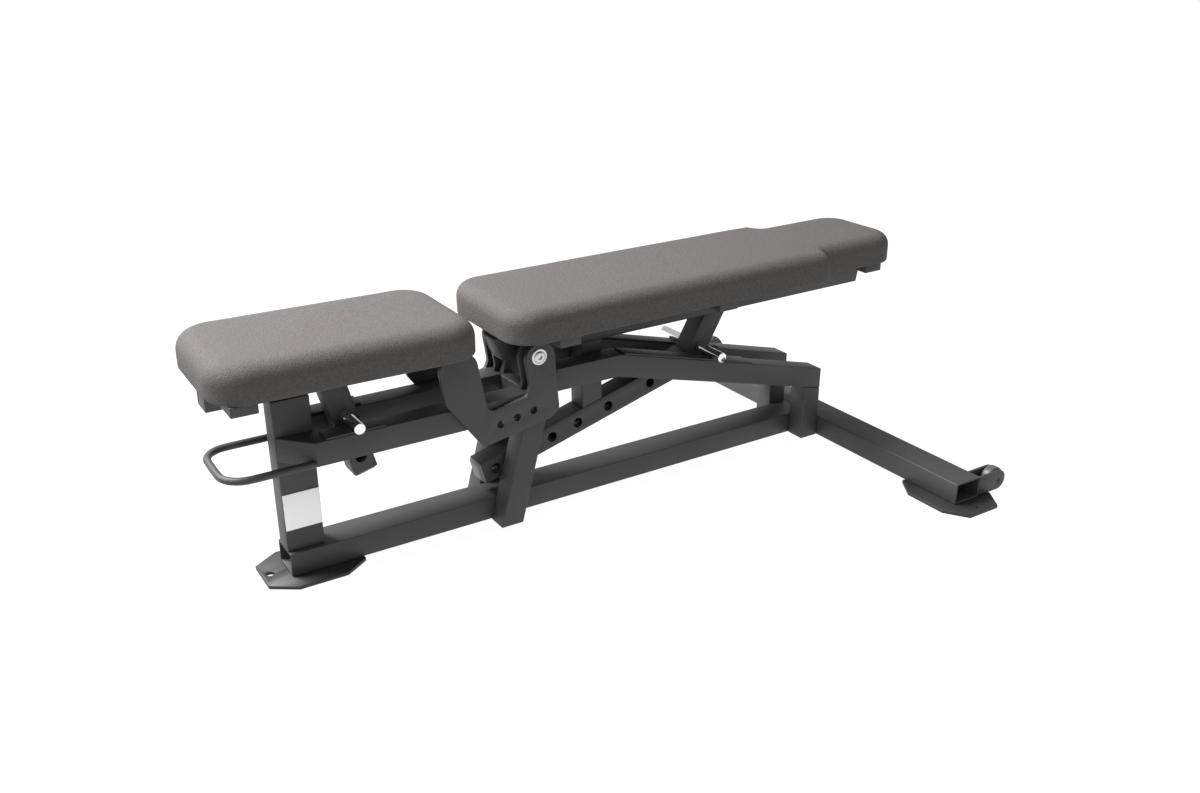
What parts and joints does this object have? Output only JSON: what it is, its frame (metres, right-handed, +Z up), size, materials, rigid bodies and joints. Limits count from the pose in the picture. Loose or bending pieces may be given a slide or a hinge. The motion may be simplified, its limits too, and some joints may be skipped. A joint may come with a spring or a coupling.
{
  "type": "adjustable weight bench",
  "caption": "Adjustable weight bench with a hinged back rest and seat, locking rods that rest on side rails, a pull loop at the front and small transport wheels at the rear.",
  "frame": {"origin": "middle of the bench's length and width, on the floor", "axes": "+X from the seat end to the head end, +Y to the side away from the pivot bolt heads, +Z up"},
  "size_m": [1.3284, 0.936, 0.4057],
  "materials": {
    "powder_coat": "matte charcoal powder coat with a fine grain",
    "chrome": "bright polished plating",
    "zinc": "bright zinc plating",
    "wheel_grey": "smooth pale grey moulded polyurethane",
    "black_plastic": "moulded black plastic",
    "upholstery": "warm grey leatherette with a soft satin sheen",
    "board": "plywood under a dark dust cloth",
    "label": "plain white plate"
  },
  "bodies": {
    "frame": {"back_cheek_far": "powder_coat", "back_cheek_near": "powder_coat", "back_pivot_bolt": "chrome", "back_pivot_nut": "zinc", "base_beam": "powder_coat", "front_foot_plate": "powder_coat", "front_loop": "powder_coat", "front_post": "powder_coat", "front_rail_far": "powder_coat", "front_rail_near": "powder_coat", "front_wear_plate_far": "powder_coat", "front_wear_plate_near": "powder_coat", "label_plate": "label", "mid_brace": "powder_coat", "mid_post_far": "powder_coat", "mid_post_near": "powder_coat", "pivot_plate_far": "powder_coat", "pivot_plate_near": "powder_coat", "rear_cross_tube": "powder_coat", "rear_foot_plate_far": "powder_coat", "rear_foot_plate_near": "powder_coat", "rear_post_far": "powder_coat", "rear_post_near": "powder_coat", "rear_rail_far": "powder_coat", "rear_rail_near": "powder_coat", "rear_wear_plate_far": "powder_coat", "rear_wear_plate_near": "powder_coat", "seat_pivot_pin": "powder_coat", "wheel_axle_far": "powder_coat", "wheel_axle_near": "powder_coat", "wheel_bracket_inner_far": "powder_coat", "wheel_bracket_inner_near": "powder_coat", "wheel_bracket_outer_far": "powder_coat", "wheel_bracket_outer_near": "powder_coat"},
    "back": {"adjuster_cap": "black_plastic", "adjuster_tube": "powder_coat", "back_cross_bar_head": "powder_coat", "back_cross_bar_middle": "powder_coat", "back_cross_bar_pivot": "powder_coat", "back_hanger_tube": "powder_coat", "back_main_tube": "powder_coat", "back_pad": "upholstery", "back_pad_board": "board", "back_pivot_bush_far": "black_plastic", "back_pivot_bush_near": "black_plastic", "back_strut": "powder_coat"},
    "seat": {"seat_cross_bar_far": "powder_coat", "seat_cross_bar_near": "powder_coat", "seat_main_tube": "powder_coat", "seat_pad": "upholstery", "seat_pad_board": "board", "seat_pivot_bush_far": "black_plastic", "seat_pivot_bush_near": "black_plastic", "seat_strut": "powder_coat", "seat_strut_cap": "black_plastic"},
    "back_rod": {"back_locking_rod": "chrome"},
    "seat_rod": {"seat_locking_rod": "chrome"},
    "near_wheel": {"wheel_near": "wheel_grey"},
    "far_wheel": {"wheel_far": "wheel_grey"}
  },
  "joints": [
    {"name": "back_pivot", "type": "hinge", "parent": "frame", "child": "back", "pos_m": [-0.13395, 0, 0.306], "axis": [0, -1, 0], "range_deg": [0, 82]},
    {"name": "seat_pivot", "type": "hinge", "parent": "frame", "child": "seat", "pos_m": [-0.28145, 0, 0.314], "axis": [0, 1, 0], "range_deg": [0, 26.4]},
    {"name": "back_rod_pull", "type": "slide", "parent": "back", "child": "back_rod", "axis": [0, -1, 0], "range_m": [0, 0.17]},
    {"name": "seat_rod_pull", "type": "slide", "parent": "seat", "child": "seat_rod", "axis": [0, -1, 0], "range_m": [0, 0.165]},
    {"name": "near_wheel_spin", "type": "hinge", "parent": "frame", "child": "near_wheel", "pos_m": [0.61455, -0.413, 0.026], "axis": [0, 1, 0], "continuous": true},
    {"name": "far_wheel_spin", "type": "hinge", "parent": "frame", "child": "far_wheel", "pos_m": [0.61455, 0.413, 0.026], "axis": [0, 1, 0], "continuous": true}
  ]
}
